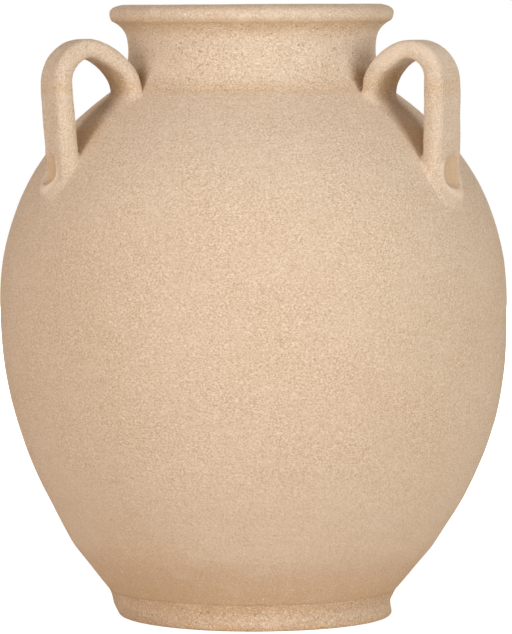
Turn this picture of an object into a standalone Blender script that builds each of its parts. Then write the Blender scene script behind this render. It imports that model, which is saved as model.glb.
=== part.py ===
# Three-handled earthenware vase, built from the pieces a potter makes and lutes together.
# Metres, +Z up. The origin is the centre of the foot's tread, and the front is towards -Y.
# Run with blender --background --python part.py, or from Blender's text editor.

import math

import bmesh
import bpy
import mathutils
import numpy as np

MM = 0.001

# Slip line left open between two clay pieces, and the edge left where soft clay is smeared thin
JOINT_GAP = 0.3 * MM
FEATHER_EDGE = 0.9 * MM

# Foot ring: the trimmed band that the vase stands on
FOOT_HEIGHT = 13.0 * MM
FOOT_INSET = 0.5 * MM
FOOT_TAPER = 1.9 * MM
FOOT_EDGE_ROUND = 4.6 * MM
FOOT_TREAD_WIDTH = 10.3 * MM
FOOT_INNER_CHAMFER = 2.0 * MM
FOOT_LEDGE_THICKNESS = 5.7 * MM
FOOT_LEDGE_WIDTH = 8.0 * MM

# Vessel body: floor, belly and shoulder, thrown in one piece
WALL = 7.0 * MM
FLOOR = 8.0 * MM
FLOOR_CORNER = 14.0 * MM
BODY_FOOT_RADIUS = 71.3 * MM
BELLY_RADIUS = 126.5 * MM
BELLY_HEIGHT = 152.0 * MM
SHOULDER_RADIUS = 68.0 * MM
SHOULDER_HEIGHT = 262.5 * MM

# How its wall leaves the foot and reaches the shoulder, and how full it is between
FOOT_SLOPE = math.radians(48.3)
SHOULDER_SLOPE = math.radians(36.2)
FOOT_FULLNESS = 0.785
LOWER_BELLY_FULLNESS = 0.441
UPPER_BELLY_FULLNESS = 0.558
SHOULDER_FULLNESS = 0.621

# Neck collar: thrown by itself and set on the shoulder
NECK_HEIGHT = 32.7 * MM
NECK_WALL = 7.0 * MM
NECK_WAIST_INSET = 6.6 * MM
NECK_WAIST_RISE = 18.0 * MM
NECK_COVE = 7.5 * MM
NECK_FLARE = 5.6 * MM

# Lip roll: the coil that finishes the mouth
LIP_HEIGHT = 9.0 * MM
LIP_OVERHANG = 3.9 * MM
LIP_TOP_ROUND = 6.2 * MM
LIP_UNDER_ROUND = 3.4 * MM
LIP_INNER_ROUND = 3.0 * MM

# Handles: pulled straps that rise from the shoulder's edge and come straight down on the shoulder
HANDLE_NAMES = ("back", "left", "right")
FIRST_HANDLE_ANGLE = math.radians(90)
STRAP_WIDTH = 21.0 * MM
STRAP_THICKNESS = 10.5 * MM
STRAP_CORNER = 4.8 * MM
ROUNDEST_CORNER = 0.48
ARM_OUT_FROM_SHOULDER_EDGE = 3.6 * MM
LEG_IN_FROM_BELLY = 16.2 * MM
HANDLE_RISE = 20.0 * MM
ARCH_INNER_SHARE = 0.57
ARM_SPRING_RISE = 2.0 * MM
LEG_BEND_DROP = 15.5 * MM

# Soft clay worked round each strap's two ends: how far out, in and sideways, and how high
COIL_OUT = 5.0 * MM
COIL_IN = 1.2 * MM
COIL_SIDE = 4.2 * MM
COIL_RISE = 6.0 * MM
PAD_OUT = 1.8 * MM
PAD_IN = 4.0 * MM
PAD_SIDE = 2.6 * MM
PAD_RISE = 6.0 * MM
SKIRT_DEPTH = 3.0 * MM

# Thumb print pressed in the strap where it meets the shoulder
THUMB_WIDTH = 22.0 * MM
THUMB_LENGTH = 38.0 * MM
THUMB_THICKNESS = 14.0 * MM
THUMB_DEPTH = 2.3 * MM
THUMB_RISE = 2.0 * MM
THUMB_LEAN = math.radians(18)

# How finely round shapes are cut
TURN_STEPS = 60
WALL_STEPS = 9
INNER_WALL_STEPS = 6
COVE_STEPS = 4
ROUND_STEPS = 4
CORNER_STEPS = 3
ARCH_STEPS = 8
STRAIGHT_STEPS = 2
SKIRT_CORNER_STEPS = 4
SKIRT_STEPS = 4
THUMB_SEGMENTS = 24
THUMB_RINGS = 16
MERGE_DISTANCE = 0.00001
SMOOTH_ANGLE = math.radians(40)

# Levels that the pieces share
BODY_FOOT_HEIGHT = FOOT_HEIGHT + JOINT_GAP
BODY_UNDERSIDE = FOOT_LEDGE_THICKNESS + JOINT_GAP
FLOOR_HEIGHT = BODY_UNDERSIDE + FLOOR
NECK_BASE = SHOULDER_HEIGHT + JOINT_GAP
NECK_TOP = NECK_BASE + NECK_HEIGHT
LIP_BASE = NECK_TOP + JOINT_GAP
LIP_TOP = LIP_BASE + LIP_HEIGHT

# Distances from the axis that the pieces share
FOOT_RADIUS = BODY_FOOT_RADIUS - FOOT_INSET - FOOT_TAPER
TREAD_BORE = FOOT_RADIUS - FOOT_EDGE_ROUND - FOOT_TREAD_WIDTH
LEDGE_BORE = TREAD_BORE - FOOT_INNER_CHAMFER
SEAT_RADIUS = LEDGE_BORE + FOOT_LEDGE_WIDTH
NECK_WAIST_RADIUS = SHOULDER_RADIUS - NECK_WAIST_INSET
NECK_TOP_RADIUS = NECK_WAIST_RADIUS + NECK_FLARE
LIP_RADIUS = NECK_TOP_RADIUS + LIP_OVERHANG
ARM_DISTANCE = SHOULDER_RADIUS + ARM_OUT_FROM_SHOULDER_EDGE
LEG_DISTANCE = BELLY_RADIUS - LEG_IN_FROM_BELLY

CLAY_COLOUR = (0.69, 0.51, 0.36, 1.0)
CLAY_ROUGHNESS = 0.92


# Outlines, as lists of (radius, height)


def bezier(start, start_pull, end_pull, end, steps):
    """Points of one cubic curve, both ends included."""
    points = []
    for i in range(steps + 1):
        t = i / steps
        weights = ((1 - t) ** 3, 3 * t * (1 - t) ** 2, 3 * t * t * (1 - t), t**3)
        corners = (start, start_pull, end_pull, end)
        points.append(tuple(sum(w * p[k] for w, p in zip(weights, corners)) for k in (0, 1)))
    return points


def oval_arc(centre, across, up, start, end, steps):
    """Points of an oval's arc from one angle to another, in degrees, both ends included."""
    points = []
    for i in range(steps + 1):
        angle = math.radians(start + (end - start) * i / steps)
        points.append((centre[0] + across * math.cos(angle), centre[1] + up * math.sin(angle)))
    return points


def body_outline(steps):
    """The body's outside, from the foot up to the shoulder's edge."""
    foot_pull = FOOT_FULLNESS * (BELLY_RADIUS - BODY_FOOT_RADIUS)
    shoulder_pull = SHOULDER_FULLNESS * (BELLY_RADIUS - SHOULDER_RADIUS)
    lower_pull = LOWER_BELLY_FULLNESS * (BELLY_HEIGHT - BODY_FOOT_HEIGHT)
    upper_pull = UPPER_BELLY_FULLNESS * (SHOULDER_HEIGHT - BELLY_HEIGHT)
    foot_out = foot_pull * math.cos(FOOT_SLOPE)
    foot_up = foot_pull * math.sin(FOOT_SLOPE)
    shoulder_out = shoulder_pull * math.cos(SHOULDER_SLOPE)
    shoulder_down = shoulder_pull * math.sin(SHOULDER_SLOPE)
    lower = bezier(
        (BODY_FOOT_RADIUS, BODY_FOOT_HEIGHT),
        (BODY_FOOT_RADIUS + foot_out, BODY_FOOT_HEIGHT + foot_up),
        (BELLY_RADIUS, BELLY_HEIGHT - lower_pull),
        (BELLY_RADIUS, BELLY_HEIGHT),
        steps,
    )
    upper = bezier(
        (BELLY_RADIUS, BELLY_HEIGHT),
        (BELLY_RADIUS, BELLY_HEIGHT + upper_pull),
        (SHOULDER_RADIUS + shoulder_out, SHOULDER_HEIGHT - shoulder_down),
        (SHOULDER_RADIUS, SHOULDER_HEIGHT),
        steps,
    )
    return lower + upper[1:]


def neck_outline():
    """The collar's outside, from its base in past the waist and out to the lip."""
    waist_height = NECK_BASE + NECK_WAIST_RISE
    upper_cove = (NECK_TOP - waist_height) / 2
    lower = bezier(
        (SHOULDER_RADIUS, NECK_BASE),
        (SHOULDER_RADIUS - NECK_WAIST_INSET / 2, NECK_BASE + NECK_WAIST_INSET / 2),
        (NECK_WAIST_RADIUS, waist_height - NECK_COVE),
        (NECK_WAIST_RADIUS, waist_height),
        COVE_STEPS,
    )
    upper = bezier(
        (NECK_WAIST_RADIUS, waist_height),
        (NECK_WAIST_RADIUS, waist_height + upper_cove),
        (NECK_TOP_RADIUS - NECK_FLARE / 2, NECK_TOP - NECK_FLARE / 2),
        (NECK_TOP_RADIUS, NECK_TOP),
        COVE_STEPS,
    )
    return lower + upper[1:]


def moved_square(outline, distance):
    """The outline moved square to itself, outwards for a distance above nought."""
    points = np.array(outline)
    along = np.gradient(points, axis=0)
    along /= np.linalg.norm(along, axis=1)[:, None]
    moved = points + distance * np.column_stack((along[:, 1], -along[:, 0]))
    return moved, along


def inside_of(outline, wall, low, high):
    """The wall's inner outline, run on or cut at two levels."""
    moved, along = moved_square(outline, -wall)
    reach = wall * 4
    moved = np.vstack((moved[0] - along[0] * reach, moved, moved[-1] + along[-1] * reach))
    kept = [(float(r), float(z)) for r, z in moved if low < z < high]
    ends = [(float(np.interp(z, moved[:, 1], moved[:, 0])), z) for z in (low, high)]
    return [ends[0], *kept, ends[1]]


def body_inside():
    """The vessel's inner wall, from the top of the floor's corner up to the shoulder."""
    return inside_of(body_outline(INNER_WALL_STEPS), WALL, FLOOR_HEIGHT + FLOOR_CORNER, SHOULDER_HEIGHT)


def neck_inside():
    """The collar's inner wall, which starts level with the body's."""
    wall = inside_of(neck_outline(), NECK_WALL, NECK_BASE, NECK_TOP)
    above_cove = [point for point in wall if point[1] > NECK_BASE + NECK_COVE]
    return [(body_inside()[-1][0], NECK_BASE), *above_cove]


def shoulder_height_at(radius):
    """Height of the shoulder's outside at a distance from the axis, level inside its edge."""
    upper = body_outline(WALL_STEPS)[WALL_STEPS:]
    radii = [r for r, _ in reversed(upper)]
    heights = [z for _, z in reversed(upper)]
    return float(np.interp(radius, radii, heights))


def over_shoulder(x, y, clear, up):
    """A point clear of the shoulder by a distance square to it, and then higher."""
    radius = math.hypot(x, y)
    level = shoulder_height_at(radius)
    slope = (shoulder_height_at(radius + MM) - shoulder_height_at(radius - MM)) / (2 * MM)
    return x, y, level + clear * math.hypot(1, slope) + up


# Making objects


def clay_material(name):
    """Unglazed sand-coloured clay, one material for each kind of piece."""
    material = bpy.data.materials.new(name + "_clay")
    material.use_nodes = True
    shader = material.node_tree.nodes["Principled BSDF"]
    shader.inputs["Base Color"].default_value = CLAY_COLOUR
    shader.inputs["Roughness"].default_value = CLAY_ROUGHNESS
    shader.inputs["Metallic"].default_value = 0.0
    material.diffuse_color = CLAY_COLOUR
    return material


def add_piece(name, mesh, collection):
    """A named piece of the vase, with its clay."""
    piece = bpy.data.objects.new(name, mesh)
    collection.objects.link(piece)
    if not mesh.materials:
        mesh.materials.append(clay_material(mesh.name))
    return piece


def add_helper(name, data, collection):
    """A cutter or a guide, which isn't part of the vase."""
    helper = bpy.data.objects.new(name, data)
    collection.objects.link(helper)
    helper.hide_render = True
    helper.display_type = "WIRE"
    return helper


def outline_mesh(name, outline, closed):
    """The outline as edges in the plane that the wheel turns."""
    mesh = bpy.data.meshes.new(name)
    edges = [(i, i + 1) for i in range(len(outline) - 1)]
    if closed:
        edges.append((len(outline) - 1, 0))
    mesh.from_pydata([(r, 0.0, z) for r, z in outline], edges, [])
    return mesh


def put_on_wheel(turned):
    """Turns an outline about the vase's axis. The outline runs down its outer side."""
    screw = turned.modifiers.new("wheel", "SCREW")
    screw.axis = "Z"
    screw.angle = math.tau
    screw.steps = TURN_STEPS
    screw.render_steps = TURN_STEPS
    screw.use_merge_vertices = True
    screw.merge_threshold = MERGE_DISTANCE
    screw.use_smooth_shade = True


def turn(name, outline, collection, closed):
    """A piece thrown on the wheel."""
    put_on_wheel(add_piece(name, outline_mesh(name, outline, closed), collection))


def cut(piece, cutter):
    """Takes the cutter's shape out of a piece."""
    boolean = piece.modifiers.new("cut_by_" + cutter.name, "BOOLEAN")
    boolean.operation = "DIFFERENCE"
    boolean.object = cutter


# Turned pieces


def make_foot_ring(collection):
    """The foot: outside band, tread, and the ledge and seat that the body's base drops in."""
    top_radius = FOOT_RADIUS + FOOT_TAPER
    straight = (FOOT_HEIGHT - FOOT_EDGE_ROUND) / 3
    band = bezier(
        (top_radius, FOOT_HEIGHT),
        (top_radius - FOOT_TAPER * 2 / 3, FOOT_HEIGHT - straight),
        (FOOT_RADIUS, FOOT_EDGE_ROUND + straight),
        (FOOT_RADIUS, FOOT_EDGE_ROUND),
        COVE_STEPS,
    )
    edge_centre = (FOOT_RADIUS - FOOT_EDGE_ROUND, FOOT_EDGE_ROUND)
    edge = oval_arc(edge_centre, FOOT_EDGE_ROUND, FOOT_EDGE_ROUND, 0, -90, ROUND_STEPS)
    outline = [
        *band,
        *edge[1:],
        (TREAD_BORE, 0.0),
        (LEDGE_BORE, FOOT_INNER_CHAMFER),
        (LEDGE_BORE, FOOT_LEDGE_THICKNESS),
        (SEAT_RADIUS, FOOT_LEDGE_THICKNESS),
        (SEAT_RADIUS, FOOT_HEIGHT),
    ]
    turn("foot_ring", outline, collection, closed=True)


def make_body(collection):
    """The vessel: it drops in the foot ring's seat and stops flat for the collar."""
    base_radius = SEAT_RADIUS - JOINT_GAP
    inner = body_inside()
    start, following = inner[0], inner[1]
    lean = (following[0] - start[0]) / (following[1] - start[1])
    floor_edge = (start[0] - FLOOR_CORNER * 2, FLOOR_HEIGHT)
    corner = bezier(
        floor_edge,
        (floor_edge[0] + FLOOR_CORNER, FLOOR_HEIGHT),
        (start[0] - lean * FLOOR_CORNER / 2, start[1] - FLOOR_CORNER / 2),
        start,
        ROUND_STEPS,
    )
    outline = [
        (0.0, FLOOR_HEIGHT),
        *corner,
        *inner[1:],
        *reversed(body_outline(WALL_STEPS)),
        (base_radius, BODY_FOOT_HEIGHT),
        (base_radius, BODY_UNDERSIDE),
        (0.0, BODY_UNDERSIDE),
    ]
    turn("vessel_body", outline, collection, closed=False)


def make_neck(collection):
    """The collar between the shoulder and the lip."""
    turn("neck_collar", [*neck_inside(), *reversed(neck_outline())], collection, closed=True)


def make_lip(collection):
    """The rounded coil at the mouth, as wide inside as the collar that it sits on."""
    bore = neck_inside()[-1][0]
    top_drop = LIP_HEIGHT / 2
    over = (LIP_RADIUS - LIP_TOP_ROUND, LIP_TOP - top_drop)
    under = (LIP_RADIUS - LIP_UNDER_ROUND, LIP_TOP - top_drop)
    inner = (bore + LIP_INNER_ROUND, LIP_TOP - LIP_INNER_ROUND)
    outline = [
        (bore, LIP_BASE),
        *oval_arc(inner, LIP_INNER_ROUND, LIP_INNER_ROUND, 180, 90, ROUND_STEPS),
        *oval_arc(over, LIP_TOP_ROUND, top_drop, 90, 0, ROUND_STEPS),
        *oval_arc(under, LIP_UNDER_ROUND, LIP_HEIGHT - top_drop, 0, -90, ROUND_STEPS)[1:],
    ]
    turn("lip_roll", outline, collection, closed=True)


# Handles


def strap_section(outward=0.0, inward=0.0, sideways=0.0, corner_steps=CORNER_STEPS):
    """The strap's rounded section as (outward, sideways) points, grown each way."""
    half_side = STRAP_WIDTH / 2 + sideways
    points = []
    for out, side, start in ((1, 1, 0), (-1, 1, 90), (-1, -1, 180), (1, -1, 270)):
        grow = outward if out > 0 else inward
        corner = min(STRAP_CORNER, STRAP_THICKNESS * ROUNDEST_CORNER) + min(grow, sideways)
        centre = (out * (STRAP_THICKNESS / 2 + grow - corner), side * (half_side - corner))
        points += oval_arc(centre, corner, corner, start, start + 90, corner_steps)
    return points


def strap_path():
    """The strap's centre line in its upright plane, from the arm's end over to the leg's."""
    top = SHOULDER_HEIGHT + HANDLE_RISE
    arm_spring = shoulder_height_at(ARM_DISTANCE) + ARM_SPRING_RISE
    leg_spring = top - LEG_BEND_DROP
    crown = ARM_DISTANCE + (LEG_DISTANCE - ARM_DISTANCE) * ARCH_INNER_SHARE
    arm_end = arm_spring - ARM_SPRING_RISE - STRAP_THICKNESS
    leg_end = shoulder_height_at(LEG_DISTANCE + STRAP_THICKNESS) - STRAP_THICKNESS
    arm_bend = oval_arc((crown, arm_spring), crown - ARM_DISTANCE, top - arm_spring, 180, 90, ARCH_STEPS)
    leg_bend = oval_arc((crown, leg_spring), LEG_DISTANCE - crown, LEG_BEND_DROP, 90, 0, ARCH_STEPS)
    leg = [
        (LEG_DISTANCE, leg_spring + (leg_end - leg_spring) * i / STRAIGHT_STEPS)
        for i in range(1, STRAIGHT_STEPS + 1)
    ]
    return [(ARM_DISTANCE, arm_end), *arm_bend, *leg_bend[1:], *leg]


def flat_curve(name, points, collection, cyclic):
    """A guide curve in a plane, with straight spans between its points."""
    curve = bpy.data.curves.new(name, "CURVE")
    curve.dimensions = "2D"
    spline = curve.splines.new("POLY")
    spline.points.add(len(points) - 1)
    for point, (across, up) in zip(spline.points, points):
        point.co = (across, up, 0.0, 1.0)
    spline.use_cyclic_u = cyclic
    return add_helper(name, curve, collection)


def strap_mesh(name, helpers, grow=0.0):
    """The strap swept along its path with filled ends, upright in the XZ plane."""
    section = flat_curve(name + "_section", strap_section(grow, grow, grow), helpers, cyclic=True)
    sweep = flat_curve(name + "_sweep", strap_path(), helpers, cyclic=False)
    sweep.rotation_euler.x = math.radians(90)
    sweep.data.bevel_mode = "OBJECT"
    sweep.data.bevel_object = section
    sweep.data.use_fill_caps = True
    bpy.context.view_layer.update()
    graph = bpy.context.evaluated_depsgraph_get()
    mesh = bpy.data.meshes.new_from_object(sweep.evaluated_get(graph))
    mesh.name = name
    mesh.transform(sweep.matrix_world)
    work = bmesh.new()
    work.from_mesh(mesh)
    bmesh.ops.remove_doubles(work, verts=work.verts, dist=MERGE_DISTANCE)
    bmesh.ops.recalc_face_normals(work, faces=work.faces)
    work.to_mesh(mesh)
    work.free()
    bpy.data.objects.remove(sweep)
    bpy.data.objects.remove(section)
    return mesh


def skirt_mesh(name, distance, spreads, rise):
    """Clay worked round a strap's end, hollowing out from the strap on to the shoulder."""
    rings = [(spreads, -SKIRT_DEPTH, 0.0), (spreads, FEATHER_EDGE, 0.0)]
    for i in range(1, SKIRT_STEPS + 1):
        angle = math.radians(90 * i / SKIRT_STEPS)
        share = 1 - math.sin(angle)
        grown = [FEATHER_EDGE + (spread - FEATHER_EDGE) * share for spread in spreads]
        rings.append((grown, FEATHER_EDGE, rise * (1 - math.cos(angle))))
    rings.append(([-FEATHER_EDGE] * len(spreads), FEATHER_EDGE, rise))
    mesh = bpy.data.meshes.new(name)
    work = bmesh.new()
    loops = []
    for grown, clear, up in rings:
        section = strap_section(*grown, SKIRT_CORNER_STEPS)
        loops.append([work.verts.new(over_shoulder(distance + x, y, clear, up)) for x, y in section])
    count = len(loops[0])
    for lower, upper in zip(loops, loops[1:]):
        for i in range(count):
            following = (i + 1) % count
            work.faces.new((lower[i], lower[following], upper[following], upper[i]))
    work.faces.new(loops[0])
    work.faces.new(loops[-1])
    bmesh.ops.recalc_face_normals(work, faces=work.faces)
    work.to_mesh(mesh)
    work.free()
    return mesh


def make_envelope(helpers):
    """Everything inside the vase's outside and the slip line round it, as a cutter."""
    outside = body_outline(WALL_STEPS) + neck_outline()[1:]
    swollen, _ = moved_square(outside, JOINT_GAP)
    swollen = [(float(r), float(z)) for r, z in swollen]
    outline = [(0.0, swollen[-1][1]), *reversed(swollen), (0.0, swollen[0][1])]
    mesh = outline_mesh("outer_envelope", outline, closed=False)
    envelope = add_helper("outer_envelope", mesh, helpers)
    put_on_wheel(envelope)
    return envelope


def thumb_mesh():
    """The thumb that pressed the strap's lower end on to the shoulder, leaning with the shoulder."""
    outer_face = LEG_DISTANCE + STRAP_THICKNESS / 2
    reach = math.hypot(THUMB_THICKNESS * math.cos(THUMB_LEAN), THUMB_LENGTH * math.sin(THUMB_LEAN)) / 2
    place = (outer_face - THUMB_DEPTH + reach, 0.0, shoulder_height_at(outer_face) + THUMB_RISE)
    lean = mathutils.Matrix.Rotation(-THUMB_LEAN, 3, "Y")
    mesh = bpy.data.meshes.new("thumb")
    work = bmesh.new()
    bmesh.ops.create_uvsphere(work, u_segments=THUMB_SEGMENTS, v_segments=THUMB_RINGS, radius=0.5)
    bmesh.ops.scale(work, vec=(THUMB_THICKNESS, THUMB_WIDTH, THUMB_LENGTH), verts=work.verts)
    bmesh.ops.rotate(work, matrix=lean, verts=work.verts)
    bmesh.ops.translate(work, vec=place, verts=work.verts)
    work.to_mesh(mesh)
    work.free()
    return mesh


def make_handles(collection, helpers):
    """Each strap, with the coil round its arm's end and the pad round its leg's."""
    envelope = make_envelope(helpers)
    strap = strap_mesh("strap", helpers)
    socket = strap_mesh("strap_socket", helpers, JOINT_GAP)
    coil = skirt_mesh("coil", ARM_DISTANCE, (COIL_OUT, COIL_IN, COIL_SIDE), COIL_RISE)
    pad = skirt_mesh("pad", LEG_DISTANCE, (PAD_OUT, PAD_IN, PAD_SIDE), PAD_RISE)
    thumb = thumb_mesh()
    for mesh in (strap, coil, pad):
        mesh.shade_smooth()
        mesh.set_sharp_from_angle(angle=SMOOTH_ANGLE)
    for i, name in enumerate(HANDLE_NAMES):
        handle = add_piece("handle_" + name, strap, collection)
        upper = add_piece("upper_coil_" + name, coil, collection)
        lower = add_piece("lower_pad_" + name, pad, collection)
        socket_cutter = add_helper("strap_socket_" + name, socket, helpers)
        thumb_cutter = add_helper("thumb_" + name, thumb, helpers)
        for turned in (handle, upper, lower, socket_cutter, thumb_cutter):
            turned.rotation_euler.z = FIRST_HANDLE_ANGLE + math.tau * i / len(HANDLE_NAMES)
        for piece in (handle, upper, lower):
            cut(piece, envelope)
        for piece in (upper, lower):
            cut(piece, socket_cutter)
        for piece in (handle, lower):
            cut(piece, thumb_cutter)


def main():
    for old in list(bpy.data.objects):
        bpy.data.objects.remove(old)
    vase = bpy.data.collections.new("three_handled_vase")
    helpers = bpy.data.collections.new("cutters")
    bpy.context.scene.collection.children.link(vase)
    bpy.context.scene.collection.children.link(helpers)
    make_foot_ring(vase)
    make_body(vase)
    make_neck(vase)
    make_lip(vase)
    make_handles(vase, helpers)


main()
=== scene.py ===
import math

import bmesh
import bpy
from mathutils import Matrix, Vector, geometry, noise


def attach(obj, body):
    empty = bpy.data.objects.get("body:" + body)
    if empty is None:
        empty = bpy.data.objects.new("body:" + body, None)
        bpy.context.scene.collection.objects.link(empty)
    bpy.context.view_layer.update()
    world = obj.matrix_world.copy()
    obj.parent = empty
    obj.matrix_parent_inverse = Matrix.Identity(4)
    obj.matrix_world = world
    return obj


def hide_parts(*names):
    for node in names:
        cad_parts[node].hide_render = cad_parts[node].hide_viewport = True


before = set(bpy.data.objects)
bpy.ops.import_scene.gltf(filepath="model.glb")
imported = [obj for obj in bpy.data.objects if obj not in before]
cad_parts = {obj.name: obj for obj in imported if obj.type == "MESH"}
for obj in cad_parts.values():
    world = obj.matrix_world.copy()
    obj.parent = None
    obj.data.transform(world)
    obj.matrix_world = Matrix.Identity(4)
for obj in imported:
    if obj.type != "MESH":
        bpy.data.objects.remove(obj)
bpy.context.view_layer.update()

mm = 0.001
bpy.context.scene.view_settings.view_transform = "Standard"
for leftOver in ("Cube", "Light", "Camera"):
    if leftOver in bpy.data.objects:
        bpy.data.objects.remove(bpy.data.objects[leftOver])


# Small helpers that every piece uses

def fade(value, low, high):
    # 0 below low, 1 above high, smooth between
    share = min(max((value - low) / (high - low), 0.0), 1.0)
    return share * share * (3 - 2 * share)


def within(value, rise, fall):
    # 0 up to the first stretch and after the second, 1 between them
    return fade(value, *rise) * (1 - fade(value, *fall))


def hump(value, middle, width):
    # 1 at the middle, and almost 0 two widths away
    return math.exp(-((value - middle) / width) ** 2)


def ripple(place, size, seed=0.0):
    # soft noise from about -1 to 1, with features of that size
    return noise.noise(place / size + Vector((seed, seed * 0.7, -seed)))


def unevenness(co, waves):
    # how far soft clay stands out of true, in mm, from waves of (mm, length in mm, seed)
    return sum(deep * ripple(co, length * mm, seed) for deep, length, seed in waves)


def soften(work, verts):
    bmesh.ops.smooth_vert(work, verts=verts, factor=0.5, use_axis_x=True, use_axis_y=True, use_axis_z=True)


def newPiece(name, work, sharpFrom=40):
    # the object of a bmesh, smooth but for edges that bend by that many degrees or more
    mesh = bpy.data.meshes.new(name)
    work.to_mesh(mesh)
    work.free()
    mesh.shade_smooth()
    mesh.set_sharp_from_angle(angle=math.radians(sharpFrom))
    piece = bpy.data.objects.new(name, mesh)
    bpy.context.scene.collection.objects.link(piece)
    return piece


def evaluatedMesh(piece):
    # the mesh that a curve or a modifier makes of an object
    bpy.context.view_layer.update()
    return bpy.data.meshes.new_from_object(piece.evaluated_get(bpy.context.evaluated_depsgraph_get()))


def drawLine(spans):
    # an outline in mm: each span is one point, or a Bezier (start, pull, pull, end, steps)
    points = []
    for span in spans:
        if len(span) == 2:
            points.append(span)
            continue
        corners = [Vector((r, 0, z)) for r, z in span[:4]]
        points += [(p.x, p.z) for p in geometry.interpolate_bezier(*corners, span[4] + 1)]
    kept = [points[0]]
    for point in points[1:]:
        if math.dist(point, kept[-1]) > 0.001:
            kept.append(point)
    return kept


def onWheel(points, turns, closed):
    # an outline drawn at +X and spun round Z
    work = bmesh.new()
    line = [work.verts.new((r * mm, 0, z * mm)) for r, z in points]
    for first, second in zip(line, line[1:]):
        work.edges.new((first, second))
    if closed:
        work.edges.new((line[-1], line[0]))
    bmesh.ops.spin(work, geom=work.verts[:] + work.edges[:], axis=(0, 0, 1), cent=(0, 0, 0),
                   dvec=(0, 0, 0), angle=math.tau, steps=turns, use_merge=True)
    bmesh.ops.remove_doubles(work, verts=work.verts, dist=0.01 * mm)
    bmesh.ops.recalc_face_normals(work, faces=work.faces)
    return work


# How the potter's hands left the clay: the same moves for every piece, so that joints stay shut

handWork = {
    # where the wall leans to the right: mm, the height of the middle, its reach
    "leans": ((1.65, 90, 47), (0.32, 205, 48), (0.50, 58, 12), (-0.5, 0, 14)),
    "mouthLeft": 0.62, "mouthSetsIn": (245, 298),       # mm to the left, and over which heights
    "softRings": 0.10, "ringSeed": 3.1,                 # mm, throwing rings that can be felt more than seen
    "ringPitch": 8.5, "ringWander": 15 / 7,             # mm, and how much a ring changes on its way round
    "dents": ((0.12, 38, 7.7),),
    # swells left by the wheel: mm outward, the height of the middle, its reach
    "swells": ((0.70, 36, 7), (-0.16, 56, 12), (0.34, 112, 24), (0.41, 174, 15)),
    # the heights over which rings, dents and swells set in, and over which they die out
    "setsIn": (16, 26), "diesOut": (250, 260),
}


def drift(z):
    # mm to the right of the wheel's axis at a height
    leaning = sum(right * hump(z, middle, reach) for right, middle, reach in handWork["leans"])
    return leaning - handWork["mouthLeft"] * fade(z, *handWork["mouthSetsIn"])


def shapeByHand(co):
    hand = handWork
    z = co.z / mm
    rho = math.hypot(co.x, co.y)
    aside = Vector((drift(z) * mm, 0, 0))
    if rho < 1 * mm:
        return co + aside
    outward = Vector((co.x / rho, co.y / rho, 0))
    onRing = outward * hand["ringWander"] + Vector((0, 0, z / hand["ringPitch"]))
    push = hand["softRings"] * ripple(onRing, 1.0, hand["ringSeed"]) + unevenness(co, hand["dents"])
    push += sum(out * hump(z, middle, reach) for out, middle, reach in hand["swells"])
    return co + outward * (push * within(z, hand["setsIn"], hand["diesOut"]) * mm) + aside


print("body")
bodyShape = {
    "turns": 384, "stepsLow": 76, "stepsHigh": 70,
    "foot": (71.75, 13.3), "footPull": (99.7, 46.2),
    "belly": (125.95, 153.1), "lowerPull": 65.2, "upperPull": 60.7,
    "shoulder": (68.2, 262.35), "shoulderPull": (96.45, 242.4),
    "rim": 263.0, "bore": 57.5,
    "innerBelly": (119.3, 152), "innerCorner": (74.3, 28), "floor": 14,
    "under": 6.0, "recess": 59.7,
    "innerRings": 0.45, "innerPitch": 11.5,             # mm, finger rings inside
    "ringsSetIn": (16, 40), "ringsDieOut": (235, 258),
}


def bodyOutside(stepsLow, stepsHigh):
    shape = bodyShape
    belly = shape["belly"]
    underBelly = (belly[0], belly[1] - shape["lowerPull"])
    overBelly = (belly[0], belly[1] + shape["upperPull"])
    return drawLine([
        (shape["foot"], shape["footPull"], underBelly, belly, stepsLow),
        (belly, overBelly, shape["shoulderPull"], shape["shoulder"], stepsHigh),
    ])


def buildBody():
    shape = bodyShape
    bore, rim, floor, under, recess = (shape[key] for key in ("bore", "rim", "floor", "under", "recess"))
    belly, corner = shape["innerBelly"], shape["innerCorner"]
    underside = [(0, under), (10, under), (30, under), (recess, under), (recess, 12.9), (71.0, 13.0)]
    outside = bodyOutside(shape["stepsLow"], shape["stepsHigh"])
    top = [(67.7, rim - 0.15), (66.6, rim), (bore + 0.9, rim)]
    inside = drawLine([
        (bore, rim - 1.0),
        ((bore, rim - 1.5), (88.5, 239.5), (belly[0], 211), belly, 34),
        (belly, (belly[0], 95), (96, 55), corner, 34),
        (corner, (66, 17.5), (58, floor), (46, floor), 8),
        (30, floor), (15, floor), (5, floor), (0, floor),
    ])
    work = onWheel(underside + outside + top + inside, shape["turns"], closed=False)
    lowest, highest = shape["ringsSetIn"][0], shape["ringsDieOut"][1]
    for vert in work.verts:
        z = vert.co.z / mm
        rho = math.hypot(vert.co.x, vert.co.y) / mm
        if lowest < z < highest and 1 < rho < outsideAt(z) - 2:      # the wall's inner face
            turn = math.atan2(vert.co.y, vert.co.x) / math.tau
            ring = math.sin(math.tau * (z / shape["innerPitch"] + turn)) * shape["innerRings"]
            vert.co.xy *= 1 + ring * within(z, shape["ringsSetIn"], shape["ringsDieOut"]) / rho
        vert.co = shapeByHand(vert.co)
    return newPiece("clayBody", work)


bodyLine = bodyOutside(60, 60)
tableLength = 620


def outsideRadius(z):
    # the body's outer radius at a height, in mm
    for (r0, z0), (r1, z1) in zip(bodyLine, bodyLine[1:]):
        if z0 <= z <= z1:
            return r0 + (r1 - r0) * (z - z0) / (z1 - z0)
    return bodyLine[0][0] if z < bodyLine[0][1] else bodyLine[-1][0]


outsideTable = [outsideRadius(row / 2) for row in range(tableLength)]      # one row for each half mm


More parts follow.
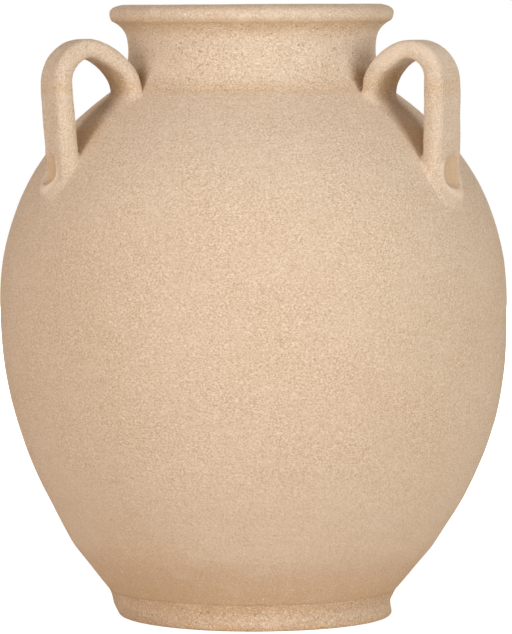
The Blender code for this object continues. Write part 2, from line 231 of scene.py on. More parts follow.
def outsideAt(z):
    # the same radius, from the table
    place = min(max(z * 2, 0), tableLength - 2)
    low = int(place)
    return outsideTable[low] + (outsideTable[low + 1] - outsideTable[low]) * (place - low)


clayBody = buildBody()


print("neck, lip and foot")
neckShape = {
    "turns": 384,
    "base": (68.0, 262.75), "waist": (61.4, 280.8), "top": (67.4, 295.4),
    "seat": 262.4, "ceiling": 296.4, "bore": 58.4,
    # waves in the clay, and the heights over which they set in and die out
    "rough": ((0.16, 5, 11), (0.128, 16, 5)), "roughSetsIn": (264, 270), "roughDiesOut": (288, 293),
}
lipShape = {
    "turns": 384, "radius": 70.45, "height": 304.55,
    # the mouth falls away to the left of X = 70 mm, by this much for each mm, and over these heights
    "tilt": 0.0054, "tiltFrom": 70, "tiltSetsIn": (268, 296),
    # waves in its sides, from these distances on, and waves and wear on its top, from these heights on
    "sides": ((0.22, 22, 2), (0.07, 5, 9)), "sidesSetIn": (58.5, 62),
    "topWave": ((0.12, 26, 4),), "topWorn": 0.13, "topSetsIn": (298, 303),
}
footShape = {
    "turns": 384, "radius": 69.35, "treadOuter": 67.0, "treadInner": 54.0, "recess": 52.0, "seat": 60.0,
    # mm that the left is worn round, the right squeezed out, and the groove over it pressed in
    "wornLeft": 1.9, "squareRight": 1.4, "grooveRight": 0.55,
    "rough": ((0.35, 13, 6), (0.16, 4, 8)),
}


def tiltMouth(vert, share):
    vert.co.z += (vert.co.x / mm - lipShape["tiltFrom"]) * lipShape["tilt"] * share * mm


def buildNeck():
    shape = neckShape
    bore, seat, ceiling, base, waist, top = (
        shape[key] for key in ("bore", "seat", "ceiling", "base", "waist", "top"))
    outline = drawLine([
        (bore, seat + 0.2), (base[0] - 1.2, seat), (base[0] - 0.4, seat + 0.05),
        (base, (66.0, 264.6), (61.5, 270.5), waist, 22),
        (waist, (waist[0], 288.9), (62.5, 291.8), top, 22),
        (top[0] - 1.2, ceiling), (bore, ceiling),
        ((bore, 295.0), (bore, 285), (bore, 275), (bore, 264), 14),
    ])
    work = onWheel(outline, shape["turns"], closed=True)
    for vert in work.verts:
        z = vert.co.z / mm
        push = unevenness(vert.co, shape["rough"]) * within(z, shape["roughSetsIn"], shape["roughDiesOut"])
        vert.co.xy *= 1 + push * mm / math.hypot(vert.co.x, vert.co.y)
        vert.co = shapeByHand(vert.co)
        tiltMouth(vert, fade(z, *lipShape["tiltSetsIn"]))
    return newPiece("clayNeck", work)


def buildLip():
    shape = lipShape
    outer, top, bore = shape["radius"], shape["height"], neckShape["bore"]
    side, inside = (outer, top - 4.4), (bore, top - 3.2)
    flatOuter, flatInner = (outer - 6.4, top), (outer - 9.4, top)
    outline = drawLine([
        (side, (outer, top - 2.2), (outer - 1.7, top - 0.8), flatOuter, 14),
        (flatOuter, (outer - 7.8, top), (outer - 8.6, top), flatInner, 4),
        (flatInner, (outer - 11.2, top), (bore, top - 1.2), inside, 10),
        (inside, (bore, top - 5), (bore, top - 7), (bore, top - 9.2), 4),
        (66.4, top - 9.6), (67.3, top - 9.3),
        ((67.9, top - 8.9), (69.4, top - 8.4), (outer, top - 6.9), side, 12),
    ])
    work = onWheel(outline[:-1], shape["turns"], closed=True)
    for vert in work.verts:
        rho = math.hypot(vert.co.x, vert.co.y)
        push = unevenness(vert.co, shape["sides"]) * fade(rho / mm, *shape["sidesSetIn"])
        vert.co.xy *= 1 + push * mm / rho
        lift = unevenness(vert.co, shape["topWave"]) - shape["topWorn"]
        vert.co.z += lift * mm * fade(vert.co.z / mm, *shape["topSetsIn"])
        vert.co = shapeByHand(vert.co)
        tiltMouth(vert, 1.0)
    return newPiece("clayLip", work)


def buildFoot():
    shape = footShape
    side, outer, inner = (shape["radius"], 5.2), shape["treadOuter"], shape["treadInner"]
    outline = drawLine([
        (shape["seat"], 13.0), (71.0, 13.4), (71.6, 13.25),
        ((71.72, 13.15), (70.7, 11.0), (side[0] + 0.1, 8.6), side, 12),
        (side, (side[0], 2.2), (outer + 1.6, 0), (outer, 0), 12),
        ((outer, 0), (outer - 3, 0), (inner + 3, 0), (inner, 0), 4),
        (shape["recess"], 2.0), (shape["recess"], 5.7), (shape["seat"], 5.7),
    ])
    work = onWheel(outline, shape["turns"], closed=True)
    for vert in work.verts:
        z = vert.co.z / mm
        rho = math.hypot(vert.co.x, vert.co.y)
        if rho > (shape["seat"] + 2) * mm:
            toRight = vert.co.x / rho
            push = -shape["wornLeft"] * fade(-toRight, 0.1, 1.0) * (1 - fade(z, 1.0, 8.0))
            push += shape["squareRight"] * fade(toRight, 0.1, 1.0) * hump(z, 0.4, 2.3)
            push -= shape["grooveRight"] * fade(toRight, 0.2, 1.0) * hump(z, 7.2, 2.6)
            push += unevenness(vert.co, shape["rough"]) * hump(z, 6, 4.5)
            vert.co.xy *= 1 + push * mm / rho
        vert.co = shapeByHand(vert.co)
    return newPiece("clayFoot", work)


clayNeck = buildNeck()
clayLip = buildLip()
clayFoot = buildFoot()


print("handles")
handleShape = {
    "voxel": 0.75,                      # mm, how fine the joined clay is
    "crownDistance": 94.6, "armSpring": 262.5, "legSpring": 267.0,
    "corner": 4.7, "cornerPull": 0.55,
    # how much wider the leg's far side gets, and the heights over which each root spreads
    "legSpread": 0.24, "armSpreads": (258, 277), "legSpreads": (212, 232),
    # the clay under the shoulder's surface: mm thick, mm under it, degrees to each side, its heights
    "slabThick": 3.2, "slabUnder": 0.16, "slabHalfTurn": 17, "slabHeights": (193, 261.8),
    # clay pressed on at each root: how far downhill, half its length, half its height and its lift, in mm
    "legPad": {"ahead": 5.2, "long": 8.7, "high": 3.1, "lift": -0.2},
    "armPad": {"ahead": 2.4, "long": 7.5, "high": 2.4, "lift": -0.7},
    "blendPasses": 54, "creaseLeft": 0.08,
    # mm from the strap within which each root is blended, and how far downhill the blend is full
    "legBlend": 6.5, "armBlend": 8.45, "legDownhill": (3.0, 9.0), "armDownhill": (-5.5, -1.0),
    # lumps are waves whose seed is added to the strap's own; they set in over these mm above the shoulder
    "lumps": ((0.26, 11, 0), (0.091, 4, 3)), "lumpsSetIn": (0.8, 4.0),
    "rootsEnd": 262, "crownHighlightSetsIn": (264, 283),
}
printShape = {
    "push": (-0.93, 0, -0.37),          # inward and down
    "rim": 0.6, "rimAt": 1.12, "rimWide": 0.17,                             # mm, then shares of the oval
    "pile": 0.8, "pileBelow": 2.6, "pileHigh": 3.2, "pileWide": 0.9,        # mm, then a share of the oval
}
# Each strap's arm rises beside the neck, and its leg comes down on the shoulder, where a thumb pressed it.
# Distances are from the wheel's axis and heights from the table, in mm. The crown is slim, as a share of
# the strap's size, and the last value on each handle's first line is how strongly a painted highlight pales
# the top of its crown. armSides spreads the arm's end to its -Y and its +Y side, and armPad is half the
# width of its pad and how far the pad sits aside.
handles = {
    "left": {
        "azimuth": 210, "wide": 21.0, "thick": 10.2, "slim": 0.90, "seed": 1.0, "crownHighlight": 0.15,
        "arm": 71.3, "armLean": 1.0, "armThin": 0.78, "armSides": (1.12, 1.10), "armPad": (12.0, 0.0),
        "crown": 287.2, "legTop": 109.5, "legFoot": 106.0, "legReach": 0.45,
        "printAside": -3.8, "printHalf": 7.4, "printDepth": 2.6, "printTop": 233.4, "printEnd": 216.0,
    },
    "right": {
        "azimuth": 327, "wide": 23.0, "thick": 10.8, "slim": 0.85, "seed": 5.0, "crownHighlight": 0.75,
        "arm": 72.8, "armLean": 2.8, "armThin": 0.70, "armSides": (0.84, 1.22), "armPad": (10.5, 2.0),
        "crown": 286.9, "legTop": 109.4, "legFoot": 107.9, "legReach": 0.63,
        "printAside": 2.7, "printHalf": 9.4, "printDepth": 2.6, "printTop": 234.0, "printEnd": 214.5,
    },
    "back": {
        "azimuth": 90, "wide": 21.5, "thick": 10.4, "slim": 0.90, "seed": 9.0, "crownHighlight": 0.4,
        "arm": 72.0, "armLean": 2.0, "armThin": 0.74, "armSides": (1.05, 1.10), "armPad": (11.5, 0.5),
        "crown": 287.0, "legTop": 109.6, "legFoot": 106.8, "legReach": 0.57,
        "printAside": 0.8, "printHalf": 7.8, "printDepth": 2.4, "printTop": 233.5, "printEnd": 215.5,
    },
}


def strapSection(own):
    # the strap's section, thickness along X and width along Y
    section = bpy.data.curves.new("section", "CURVE")
    section.dimensions = "2D"
    section.resolution_u = 6
    spline = section.splines.new("BEZIER")
    halfThick, halfWide, corner = own["thick"] / 2, own["wide"] / 2, handleShape["corner"]
    knots = []
    for x, y in ((1, 1), (-1, 1), (-1, -1), (1, -1)):
        alongX = (x * (halfThick - corner), y * halfWide)
        alongY = (x * halfThick, y * (halfWide - corner))
        knots += [alongY, alongX] if x * y > 0 else [alongX, alongY]
    spline.bezier_points.add(len(knots) - 1)
    pull = corner * handleShape["cornerPull"] * mm
    for point, (x, y) in zip(spline.bezier_points, knots):
        point.co = (x * mm, y * mm, 0)
        # a knot on a narrow edge has its pulls along X, and one on a broad face along Y
        flat = abs(abs(y) - halfWide) < 0.001
        way = Vector((1, 0, 0)) if flat else Vector((0, 1, 0))
        sense = math.copysign(1, x if flat else y)
        outward = point.co + way * sense * pull
        inward = point.co - way * sense * pull * 0.2
        point.handle_left_type = point.handle_right_type = "FREE"
        startsCorner = (x * y > 0) != flat
        point.handle_right = outward if startsCorner else inward
        point.handle_left = inward if startsCorner else outward
    spline.use_cyclic_u = True
    return section


def strapLine(own):
    # the strap's middle line: distance from the axis along X, height along Y
    shape = handleShape
    arm, lean, leg, foot = own["arm"], own["armLean"], own["legTop"], own["legFoot"]
    crown, top = shape["crownDistance"], own["crown"] - own["thick"] / 2 * own["slim"]
    armSpring, legSpring = shape["armSpring"], shape["legSpring"]
    armRise, legRise = (top - armSpring) * 0.44, (top - legSpring) * 0.53
    # each knot has its place, the pull before it, the pull after it and how much the strap swells there
    knots = [
        ((arm + 0.8, 247), (arm + 0.8, 243), (arm + 0.3, 252), 1.12),
        ((arm, armSpring), (arm - 0.5 * lean, armSpring - 5), (arm + lean, armSpring + armRise), 1.06),
        ((crown, top), (crown - (crown - arm) * 0.44, top),
         (crown + (leg - crown) * own["legReach"], top), own["slim"]),
        ((leg, legSpring), (leg, legSpring + legRise), (leg, legSpring - 10), 1.0),
        ((foot, 205), (foot + 0.4, 224), (foot, 200), 1.05),
    ]
    path = bpy.data.curves.new("path", "CURVE")
    path.dimensions = "2D"
    path.resolution_u = 22
    spline = path.splines.new("BEZIER")
    spline.bezier_points.add(len(knots) - 1)
    for point, (co, before, after, swell) in zip(spline.bezier_points, knots):
        point.handle_left_type = point.handle_right_type = "FREE"
        point.co = (co[0] * mm, co[1] * mm, 0)
        point.handle_left = (before[0] * mm, before[1] * mm, 0)
        point.handle_right = (after[0] * mm, after[1] * mm, 0)
        point.radius = swell
    return path


def sweepStrap(own):
    section = bpy.data.objects.new("section", strapSection(own))
    path = bpy.data.objects.new("path", strapLine(own))
    for guide in (section, path):
        bpy.context.scene.collection.objects.link(guide)
    path.data.bevel_mode = "OBJECT"
    path.data.bevel_object = section
    path.data.use_fill_caps = True
    work = bmesh.new()
    work.from_mesh(evaluatedMesh(path))
    for guide in (section, path):
        bpy.data.objects.remove(guide)
    bmesh.ops.remove_doubles(work, verts=work.verts, dist=0.005 * mm)
    upright = Matrix.Rotation(math.radians(90), 3, "X")
    bmesh.ops.rotate(work, verts=work.verts, cent=(0, 0, 0), matrix=upright)
    return work


def spreadRoots(work, own):
    # the arm's end is pressed thin and wide on the shoulder, and the leg's far side is pushed out
    shape = handleShape
    crown = shape["crownDistance"]
    for vert in work.verts:
        x, z = vert.co.x / mm, vert.co.z / mm
        if x < crown - 3:
            share = 1 - fade(z, *shape["armSpreads"])
            vert.co.x = (x + (x - own["arm"]) * (own["armThin"] - 1) * share) * mm
            vert.co.y *= 1 + (own["armSides"][vert.co.y > 0] - 1) * share
        elif x > crown + 3 and vert.co.y * own["printAside"] > 0:
            vert.co.y *= 1 + shape["legSpread"] * (1 - fade(z, *shape["legSpreads"]))


shoulderLow, shoulderTop = 152.0, 262.3     # heights in mm that the shoulder lies between


def slopeAt(z):
    # unit vector square to the body's outside, out and up
    rise = outsideAt(z + 0.5) - outsideAt(z - 0.5)
    return Vector((1, 0, -rise)).normalized()


def aboveBody(co):
    # how far a point stands out of the body's surface, in mm
    z = min(co.z / mm, shoulderTop)
    out = (math.hypot(co.x, co.y) / mm - outsideAt(z)) * slopeAt(z).x
    return out + max(co.z / mm - shoulderTop, 0)


def heightAt(radius):
    # height of the shoulder's outside at a distance from the axis
    low, high = shoulderLow, shoulderTop
    for _ in range(30):
        middle = (low + high) / 2
        if outsideAt(middle) > radius:
            low = middle
        else:
            high = middle
    return low


def trimRoot(work, distance, isLeg):
    # cuts a strap's end inside the wall, along the wall
    crown, highest = handleShape["crownDistance"] * mm, 270 * mm
    half = [v for v in work.verts if (v.co.x > crown) == isLeg and v.co.z < highest]
    chosen = set(half)
    edges = [e for e in work.edges if all(v in chosen for v in e.verts)]
    faces = [f for f in work.faces if all(v in chosen for v in f.verts)]
    z = heightAt(distance)
    square = slopeAt(z)
    place = Vector((outsideAt(z), 0, z)) * mm - square * (handleShape["slabThick"] - 0.3) * mm
    cut = bmesh.ops.bisect_plane(work, geom=half + edges + faces, dist=0.001 * mm, plane_co=place,
                                 plane_no=square, clear_inner=True)
    rim = [e for e in cut["geom_cut"] if isinstance(e, bmesh.types.BMEdge)]
    bmesh.ops.contextual_create(work, geom=rim)


def addPad(work, root, pad, halfWide, aside):
    # a flattened ball of clay pressed on the shoulder, just downhill of a strap's root
    z = heightAt(root + pad["ahead"])
    square = slopeAt(z)
    lean = Matrix.Rotation(math.atan2(square.x, square.z), 3, "Y")
    place = Vector((outsideAt(z), aside, z)) + square * pad["lift"]
    ball = bmesh.ops.create_uvsphere(work, u_segments=36, v_segments=24, radius=1.0)["verts"]
    bmesh.ops.scale(work, verts=ball, vec=Vector((pad["long"], halfWide, pad["high"])) * mm)
    bmesh.ops.rotate(work, verts=ball, cent=(0, 0, 0), matrix=lean)
    bmesh.ops.translate(work, verts=ball, vec=place * mm)


def addSlab(work):
    # a thin shell just under the body's surface, which carries the blend between strap and shoulder
    shape = handleShape
    half = math.radians(shape["slabHalfTurn"])
    low, high = shape["slabHeights"]
    line = []
    for r, z in bodyLine:
        if low < z < high:
            line.append(work.verts.new((Vector((r, 0, z)) - slopeAt(z) * shape["slabUnder"]) * mm))
    edges = [work.edges.new(pair) for pair in zip(line, line[1:])]
    bmesh.ops.rotate(work, verts=line, cent=(0, 0, 0), matrix=Matrix.Rotation(-half, 3, "Z"))
    before = set(work.faces)
    bmesh.ops.spin(work, geom=line + edges, axis=(0, 0, 1), cent=(0, 0, 0), dvec=(0, 0, 0),
                   angle=2 * half, steps=28, use_merge=False)
    skin = [f for f in work.faces if f not in before]
    bmesh.ops.recalc_face_normals(work, faces=skin)
    if sum(f.normal.x for f in skin) < 0:
        bmesh.ops.reverse_faces(work, faces=skin)
    bmesh.ops.solidify(work, geom=skin, thickness=shape["slabThick"] * mm)


def rootDistance(co, own):
    # how far a point lies outside the strap's own surface near a root, and how far downhill of its middle
    isLeg = co.x / mm > handleShape["crownDistance"]
    foot, top, corner = own["legFoot"], own["legTop"], handleShape["corner"]
    middle = foot + (top - foot) * fade(co.z / mm, 215, 262) if isLeg else own["arm"]
    thin, spread = (1.0, 1.0) if isLeg else (own["armThin"], own["armSides"][co.y > 0])
    ahead = co.x / mm - middle
    overX = abs(ahead) - own["thick"] / 2 * thin + corner
    overY = abs(co.y / mm) - own["wide"] / 2 * spread + corner
    return math.hypot(max(overX, 0), max(overY, 0)) - corner, ahead


def blendRoots(work, own):
    # smooths the crease between strap and shoulder, less on the uphill side
    shape = handleShape
    passes, creaseLeft = shape["blendPasses"], shape["creaseLeft"]
    weights = {}
    for vert in work.verts:
        over = aboveBody(vert.co)
        if over < -1.2 or over > shape["armBlend"]:
            continue
        beside, ahead = rootDistance(vert.co, own)
        far = math.hypot(max(over, 0), max(beside, 0))
        side = "leg" if vert.co.x / mm > shape["crownDistance"] else "arm"
        downhill = fade(ahead, *shape[side + "Downhill"])
        weight = (1 - fade(far, 1.0, shape[side + "Blend"])) * (creaseLeft + (1 - creaseLeft) * downhill)
        if weight > 0.02:
            weights[vert] = weight
    for turn in range(passes):
        soften(work, [v for v, weight in weights.items() if weight > turn / passes])


def pressThumb(work, own, wipeAndHighlight):
    # the thumb's oval print in the outer face, with clay pushed up at its sides and piled up below it
    shape = printShape
    pushWay = Vector(shape["push"])
    tall = (own["printTop"] - own["printEnd"]) / 2
    middle = own["printEnd"] + tall
    for vert in work.verts:
        z = vert.co.z / mm
        outer = fade(vert.co.x / mm, own["legFoot"] + 0.5, own["legFoot"] + 3.5)
        if outer == 0 or abs(z - middle) > tall + 12 or aboveBody(vert.co) < -1.5:
            continue
        aside = vert.co.y / mm - own["printAside"]
        oval = math.hypot(aside / own["printHalf"], (z - middle) / tall)
        bowl = max(0.0, 1 - oval ** 3)
        rim = hump(oval, shape["rimAt"], shape["rimWide"]) * fade(z, middle + tall, middle)
        pile = hump(aside, 0, own["printHalf"] * shape["pileWide"])
        pile *= hump(z, own["printEnd"] - shape["pileBelow"], shape["pileHigh"])
        deep = own["printDepth"] * bowl - shape["rim"] * rim - shape["pile"] * pile
        vert.co += pushWay * outer * mm * deep
        vert[wipeAndHighlight] = max(-1.0, min(1.0, outer * (bowl - rim - 0.7 * pile)))


def buildHandle(name, own):
    shape = handleShape
    work = sweepStrap(own)
    spreadRoots(work, own)
    trimRoot(work, own["legFoot"] - 1, isLeg=True)
    trimRoot(work, own["arm"], isLeg=False)
    addPad(work, own["legFoot"], shape["legPad"], own["wide"] / 2, 0.6 * own["printAside"])
    addPad(work, own["arm"], shape["armPad"], *own["armPad"])
    addSlab(work)
    bmesh.ops.recalc_face_normals(work, faces=work.faces)
    rough = newPiece("rough", work)
    remesh = rough.modifiers.new("remesh", "REMESH")
    remesh.mode = "VOXEL"
    remesh.voxel_size = shape["voxel"] * mm
    joined = evaluatedMesh(rough)
    bpy.data.objects.remove(rough)

    work = bmesh.new()
    work.from_mesh(joined)
    wipeAndHighlight = work.verts.layers.float.new("wipeAndHighlight")        # above 0 where wiped, below 0 where paler
    for _ in range(2):
        soften(work, work.verts)
    blendRoots(work, own)
    pressThumb(work, own, wipeAndHighlight)
    work.normal_update()
    lumps = [(deep, length, own["seed"] + later) for deep, length, later in shape["lumps"]]
    for vert in work.verts:
        free = fade(aboveBody(vert.co), *shape["lumpsSetIn"])
        vert.co += vert.normal * (unevenness(vert.co, lumps) * free * mm)
        # painted highlight: the top of each crown is made paler, by the handle's own amount
        if vert.co.z > shape["rootsEnd"] * mm:
            vert[wipeAndHighlight] = -own["crownHighlight"] * fade(vert.co.z / mm, *shape["crownHighlightSetsIn"])
    turned = Matrix.Rotation(math.radians(own["azimuth"]), 3, "Z")
    for vert in work.verts:
        vert.co = shapeByHand(turned @ vert.co)
    bmesh.ops.recalc_face_normals(work, faces=work.faces)
    return newPiece("clayHandle" + name.capitalize(), work, sharpFrom=60)


handlePieces = {name: buildHandle(name, own) for name, own in handles.items()}


print("clay finishes")


class Wire:
    # one shader socket, so that sums on it add their nodes
    def __init__(self, tree, socket=None):
        self.tree = tree
        self.socket = socket

    def node(self, kind, settings=None, sockets=None, take=0):
        made = self.tree.nodes.new("ShaderNode" + kind)
        for name, value in (settings or {}).items():
            setattr(made, name, value)
        for name, value in (sockets or {}).items():
            if isinstance(value, Wire):
                self.tree.links.new(value.socket, made.inputs[name])
            else:
                made.inputs[name].default_value = value
        return Wire(self.tree, made.outputs[take])

    def sum(self, operation, first, second):
        return self.node("Math", {"operation": operation}, {0: first, 1: second})

    def __add__(self, other):
        return self.sum("ADD", self, other)

    __radd__ = __add__

    def __sub__(self, other):
        return self.sum("SUBTRACT", self, other)

    def __rsub__(self, other):
        return self.sum("SUBTRACT", other, self)

    def __mul__(self, other):
        return self.sum("MULTIPLY", self, other)

    __rmul__ = __mul__

    def between(self, low, high):
        # 0 where this is low or less, 1 where it is high or more
        return self.node("MapRange", {"interpolation_type": "SMOOTHSTEP", "clamp": True},
                         {"Value": self, "From Min": low, "From Max": high, "To Min": 0.0, "To Max": 1.0})

    def band(self, rise, fall):
        # 0 up to the first stretch and after the second, 1 between them
        return self.between(*rise) * (1 - self.between(*fall))

    def tint(self, share, colour):
        # this colour, mixed with another by a share
        return self.node("Mix", {"data_type": "RGBA", "blend_type": "MIX", "clamp_result": False},
                         {0: share, 6: self, 7: colour}, take=2)

    # The rest are for a place on the pot

    def noise(self, size, detail=2.0, rough=0.5):
        # 0 to 1, with features of that size in mm
        return self.node("TexNoise", {"noise_dimensions": "3D"},
                         {"Vector": self, "Scale": 1000 / size, "Detail": detail, "Roughness": rough})

    def cells(self, size):
        # distance to the nearest of scattered points, which lie about that many mm apart
        return self.node("TexVoronoi", {"feature": "F1"},
                         {"Vector": self, "Scale": 1000 / size, "Randomness": 1.0})

    def drawnOut(self, across):
        # noise on this place is stretched sideways, 1 / across times
        return self.node("VectorMath", {"operation": "MULTIPLY"}, {0: self, 1: (across, across, 1.0)})

    def away(self, spot):
        # mm from a spot given in mm
        spot = tuple(value * mm for value in spot)
        return self.node("VectorMath", {"operation": "DISTANCE"}, {0: self, 1: spot}, take=1) * 1000


# The colours for the shade round the handles and under the lip are painted shade.
clayLooks = {
    "colour": (0.690, 0.562, 0.435, 1), "warm": (0.640, 0.472, 0.325, 1), "pale": (0.85, 0.74, 0.62, 1),
    "dark": (0.48, 0.325, 0.20, 1), "chalk": (0.93, 0.88, 0.80, 1), "bleached": (0.665, 0.620, 0.560, 1),
    "lightShade": (0.63, 0.43, 0.25, 1), "shaded": (0.42, 0.27, 0.120, 1), "browner": (0.560, 0.372, 0.212, 1),
    "lowTan": (0.600, 0.400, 0.236, 1), "footBand": (0.575, 0.470, 0.368, 1),
    "underLipShadeTone": (0.655, 0.450, 0.235, 1), "neckSlip": (0.610, 0.405, 0.222, 1),
    "wiped": (0.600, 0.410, 0.238, 1),
}
clayGrain = {       # mm, how large each mark in the clay is
    "sand": 0.66, "grit": 1.5, "patch": 24.0, "blotch": 9.0, "cloud": 48.0, "line": 1.5, "broadLine": 6.5,
    "pit": 2.6, "pitPatch": 6.0, "chalk": 7.5, "chalkPatch": 21.0,
}
clayGloss = {"specular": 0.22, "diffuseRough": 0.12, "rough": 0.88, "roughRange": 0.16, "bump": 0.85}
# how strongly each mark shows on a piece; drawn stretches the sand sideways where it is below 1
finishes = {
    "body": {"drawn": 0.72, "grit": 2.0, "lines": 2.0, "pits": 0.6, "mottle": 0.40, "handleMarks": False},
    "neck": {"drawn": 0.72, "grit": 2.1, "lines": 0.5, "pits": 1.4, "mottle": 0.9, "handleMarks": False},
    "lip": {"drawn": 0.72, "grit": 1.7, "lines": 0.6, "pits": 0.8, "mottle": 1.1, "handleMarks": False},
    "foot": {"drawn": 0.72, "grit": 3.6, "lines": 0.8, "pits": 1.8, "mottle": 0.9, "handleMarks": False},
    "handle": {"drawn": 1.0, "grit": 2.1, "lines": 0.0, "pits": 0.8, "mottle": 0.7, "handleMarks": True},
}
# Painted shade round each handle, where its loop and arm shade the clay: a spot's distance from the axis and
# its height, how far it reaches in full and at all, all in mm, then its share and its colour
handleShadeSpots = (
    (82, 267, 6, 14, 0.75, "shaded"),       # inside the loop, beside the arm
    (98, 242, 6, 17, 0.60, "lightShade"),       # inside the loop, where the leg meets the shoulder
    (62, 266, 3, 11, 0.90, "shaded"),       # between arm and neck
)
# a browner patch low at the front left, in mm
brownSpot = {"place": (-45, -60, 20), "near": 18, "far": 62, "share": 0.26}


def tonesAndPaintedLight(place, height, wander, grit, broad):
    # the clay's tones, with painted shade and painted light among them, as (where, share, colour); wander
    # frays its edges
    level = height + wander * 0.35
    footBand = level.band((1.0, 3.5), (6.5, 11.5))
    lowTan = 1 - (height + wander + (broad - 0.5) * 14).between(8, 52)
    # painted shade under the lip roll, on the neck's flare just below it
    underLipShade = (height + wander * 0.15).between(286.5, 293.5) * (1 - height.between(297.2, 298.2))
    neckJoint = (height + wander * 0.25).band((259.0, 263.0), (264.0, 270.0))
    browner = place.away(brownSpot["place"]).between(brownSpot["near"], brownSpot["far"])
    tones = [
        ((height + wander).between(120, 270), 0.30, "bleached"),
        (lowTan, 0.76, "lowTan"),
        # painted light: a paler band round the lower belly, between about 12 and 125 mm high
        (height.band((12, 45), (75, 125)), 0.12, "pale"),
        (underLipShade, 0.48, "underLipShadeTone"),
        (neckJoint, 0.32, "neckSlip"),
        (height.between(299, 302), 0.25, "warm"),
        (footBand, 0.50, "footBand"),
        (footBand * grit.between(0.42, 0.60), 0.28, "pale"),
        (1 - browner, brownSpot["share"], "browner"),
    ]
    # painted shade round each handle, darkest under the arm, at the leg's root and between arm and neck
    for own in handles.values():
        turn = math.radians(own["azimuth"])
        for distance, rise, near, far, share, tone in handleShadeSpots:
            spot = (distance * math.cos(turn), distance * math.sin(turn), rise)
            tones.append((1 - place.away(spot).between(near, far), share, tone))
    return tones


def clayFinish(name, look):
    made = bpy.data.materials.new(name + "Clay")
    made.use_nodes = True
    tree = made.node_tree
    shader = tree.nodes["Principled BSDF"]
    grain, gloss = clayGrain, clayGloss
    place = Wire(tree).node("TexCoord", take=3)
    height = place.node("SeparateXYZ", sockets={0: place}, take=2) * 1000

    # fine sand, coarser grit, and the lines of the wheel, which run round the pot
    sand = place.drawnOut(look["drawn"]).noise(grain["sand"], 1.0)
    grit = place.noise(grain["grit"], 2.0, 0.6)
    patches = place.noise(grain["patch"], 2.0).between(0.40, 0.62) * 0.22 + 0.84
    patches = patches * (height.between(40, 110) * 0.45 + 0.55)
    blotch = place.noise(grain["blotch"], 3.0, 0.6)
    cloud = place.noise(grain["cloud"], 3.0, 0.55)
    onWheelLine = place.drawnOut(0.07)
    lines = onWheelLine.noise(grain["line"], 2.0, 0.65)
    broad = onWheelLine.noise(grain["broadLine"], 2.0, 0.6)
    pitted = place.noise(grain["pitPatch"], 1.0).between(0.47, 0.60)
    pits = (1 - place.cells(grain["pit"]).between(0.13, 0.30)) * pitted
    chalky = place.noise(grain["chalkPatch"], 1.0).between(0.48, 0.62)
    chalk = (1 - place.cells(grain["chalk"]).between(0.03, 0.11)) * chalky

    tones = tonesAndPaintedLight(place, height, (blotch - 0.5) * 9, grit, broad)
    tones += [
        (blotch.between(0.50, 0.72), 0.32 * look["mottle"], "pale"),
        (1 - blotch.between(0.28, 0.47), 0.22 * look["mottle"], "warm"),
        ((1 - sand.between(0.30, 0.52)) * patches, 0.30 * look["grit"], "dark"),
        (sand.between(0.50, 0.74) * patches, 0.35 * look["grit"], "pale"),
        (1 - grit.between(0.30, 0.44), 0.13 * look["grit"], "dark"),
        (lines.between(0.52, 0.72), 0.14 * look["lines"], "warm"),
        (pits, 0.42 * look["pits"], "dark"),
        (chalk, 0.55, "chalk"),
    ]
    bump = sand * (0.14 * look["grit"]) + grit * (0.26 * look["grit"]) + lines * (0.10 * look["lines"])
    bump = bump + broad * (0.16 * look["lines"]) - pits * (0.34 * look["pits"]) + chalk * 0.05
    if look["handleMarks"]:
        wipeAndHighlight = place.node("Attribute", {"attribute_name": "wipeAndHighlight"}, take=2)
        wiped = wipeAndHighlight.between(0.12, 0.75)
        # below 0 the clay is paler: round the thumb prints, and with the painted highlight on the crowns
        tones += [(wiped, 0.56, "wiped"), ((wipeAndHighlight * -1).between(0.10, 0.9), 0.50, "pale")]
        bump = bump * (1 - wiped * 0.55)

    colour = place.node("Mix", {"data_type": "RGBA"}, {
        0: cloud.between(0.33, 0.68) * 0.30 + 0.02, 6: clayLooks["colour"], 7: clayLooks["warm"]}, take=2)
    for where, share, tone in tones:
        colour = colour.tint(where * share, clayLooks[tone])
    relief = place.node("Bump", sockets={"Strength": gloss["bump"], "Distance": 1.0 * mm, "Height": bump})
    roughness = gloss["rough"] + (grit - 0.5) * gloss["roughRange"]
    tree.links.new(colour.socket, shader.inputs["Base Color"])
    tree.links.new(roughness.socket, shader.inputs["Roughness"])
    tree.links.new(relief.socket, shader.inputs["Normal"])
    shader.inputs["Specular IOR Level"].default_value = gloss["specular"]
    shader.inputs["Diffuse Roughness"].default_value = gloss["diffuseRough"]
    return made


clays = {name: clayFinish(name, look) for name, look in finishes.items()}
dressed = (
    (clayBody, "body", "body_clay", ("vessel_body",)),
    (clayNeck, "neck", "neck_clay", ("neck_collar",)),
    (clayLip, "lip", "lip_clay", ("lip_roll",)),
    (clayFoot, "foot", "foot_clay", ("foot_ring",)),
)
for piece, clay, recordSlot, nodes in dressed:
    piece.data.materials.append(clays[clay])
    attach(piece, "root")
    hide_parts(*nodes)
for name, piece in handlePieces.items():
    piece.data.materials.append(clays["handle"])
    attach(piece, "root")
    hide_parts("handle_" + name, "upper_coil_" + name, "lower_pad_" + name)


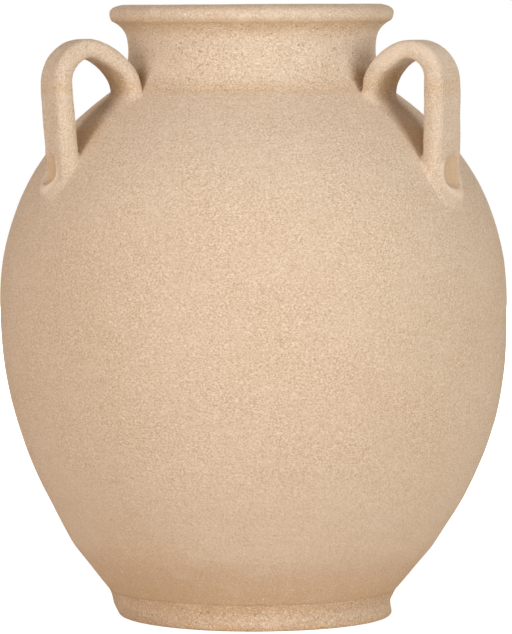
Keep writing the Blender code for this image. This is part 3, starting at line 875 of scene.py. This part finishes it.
print("floor, lights and camera")
studio = {
    "floorSize": 6.0, "floorColour": (0.84, 0.815, 0.785, 1), "floorRough": 0.95,
    "nearGlow": (0.704, 0.76, 0.80, 1),     # with the lamps' light, just enough to look white near the pot
    "farGlow": (1, 1, 1, 1), "near": 0.25, "far": 0.8,
    "roomColour": (1.0, 0.52, 0.16, 1), "roomLight": 0.150,
    "lampAim": (0, 0, 0.16),
}
lamps = {
    "frontLamp": {"place": (0, -2.1, 0.32), "size": 1.0, "power": 8.3, "colour": (0.965, 0.985, 0.985)},
    "leftLamp": {"place": (-1.52, -1.68, 0.6), "size": 0.9, "power": 15.6, "colour": (1.0, 0.908, 0.835)},
    "rightLamp": {"place": (1.52, -1.68, 0.53), "size": 0.9, "power": 19.7, "colour": (0.95, 0.965, 0.94)},
    "leftHighLamp": {"place": (-1.3, -1.4, 1.5), "size": 0.7, "power": 9.2, "colour": (1.0, 0.97, 0.95)},
    "rightHighLamp": {"place": (1.3, -1.4, 1.5), "size": 0.7, "power": 8.5, "colour": (0.99, 1.0, 0.98)},
    "backLamp": {"place": (0, 2.2, 0.55), "size": 1.0, "power": 26.0, "colour": (1.0, 0.93, 0.84)},
}
cameraView = {
    "place": (0.0016, -2.240, 0.3065), "aim": (0.0016, 0, 0.14855),
    "lens": 255.85, "sensor": 36, "farthest": 50,
}


def addAimed(piece, place, target):
    # puts a lamp or the camera at its place, turned to its target
    bpy.context.scene.collection.objects.link(piece)
    piece.location = place
    piece.rotation_euler = (Vector(target) - Vector(place)).to_track_quat("-Z", "Y").to_euler()


def seenWhite(tree):
    # 1 for what the camera, a mirror or glass sees, 0 for light that falls on the pot
    paths = tree.nodes.new("ShaderNodeLightPath")
    camera, glossy, through = (Wire(tree, paths.outputs[name])
                               for name in ("Is Camera Ray", "Is Glossy Ray", "Is Transmission Ray"))
    return (camera + glossy + through).between(0.0, 1.0)


def layFloor():
    work = bmesh.new()
    bmesh.ops.create_grid(work, x_segments=1, y_segments=1, size=studio["floorSize"] / 2)
    floor = newPiece("studioFloor", work)
    made = bpy.data.materials.new("studioPaper")
    made.use_nodes = True
    tree = made.node_tree
    shader = tree.nodes["Principled BSDF"]
    shader.inputs["Base Color"].default_value = studio["floorColour"]
    shader.inputs["Roughness"].default_value = studio["floorRough"]
    shader.inputs["Specular IOR Level"].default_value = 0.0
    place = Wire(tree).node("TexCoord", take=3)
    away = place.node("VectorMath", {"operation": "LENGTH"}, {0: place}, take=1)
    glow = place.node("Mix", {"data_type": "RGBA"}, {
        0: away.between(studio["near"], studio["far"]), 6: studio["nearGlow"], 7: studio["farGlow"]}, take=2)
    tree.links.new(glow.socket, shader.inputs["Emission Color"])
    tree.links.new(seenWhite(tree).socket, shader.inputs["Emission Strength"])
    floor.data.materials.append(made)


def lightRoom():
    world = bpy.data.worlds.new("studioRoom")
    bpy.context.scene.world = world
    world.use_nodes = True
    tree = world.node_tree
    tree.nodes.clear()
    start = Wire(tree)
    room = start.node("Background", sockets={"Color": studio["roomColour"], "Strength": studio["roomLight"]})
    white = start.node("Background", sockets={"Color": (1, 1, 1, 1), "Strength": 1.0})
    mixed = start.node("MixShader", sockets={0: seenWhite(tree), 1: room, 2: white})
    output = tree.nodes.new("ShaderNodeOutputWorld")
    tree.links.new(mixed.socket, output.inputs["Surface"])


def hangLamps():
    for name, lamp in lamps.items():
        light = bpy.data.lights.new(name, "AREA")
        light.shape = "SQUARE"
        light.size = lamp["size"]
        light.energy = lamp["power"]
        light.color = lamp["colour"]
        lit = bpy.data.objects.new(name, light)
        addAimed(lit, lamp["place"], studio["lampAim"])
        lit.visible_camera = False


def placeCamera():
    view = cameraView
    camera = bpy.data.objects.new("photoCamera", bpy.data.cameras.new("photoCamera"))
    addAimed(camera, view["place"], view["aim"])
    camera.data.lens = view["lens"]
    camera.data.sensor_width = view["sensor"]
    camera.data.clip_end = view["farthest"]
    camera.data.dof.use_dof = False
    bpy.context.scene.camera = camera


layFloor()
lightRoom()
hangLamps()
placeCamera()
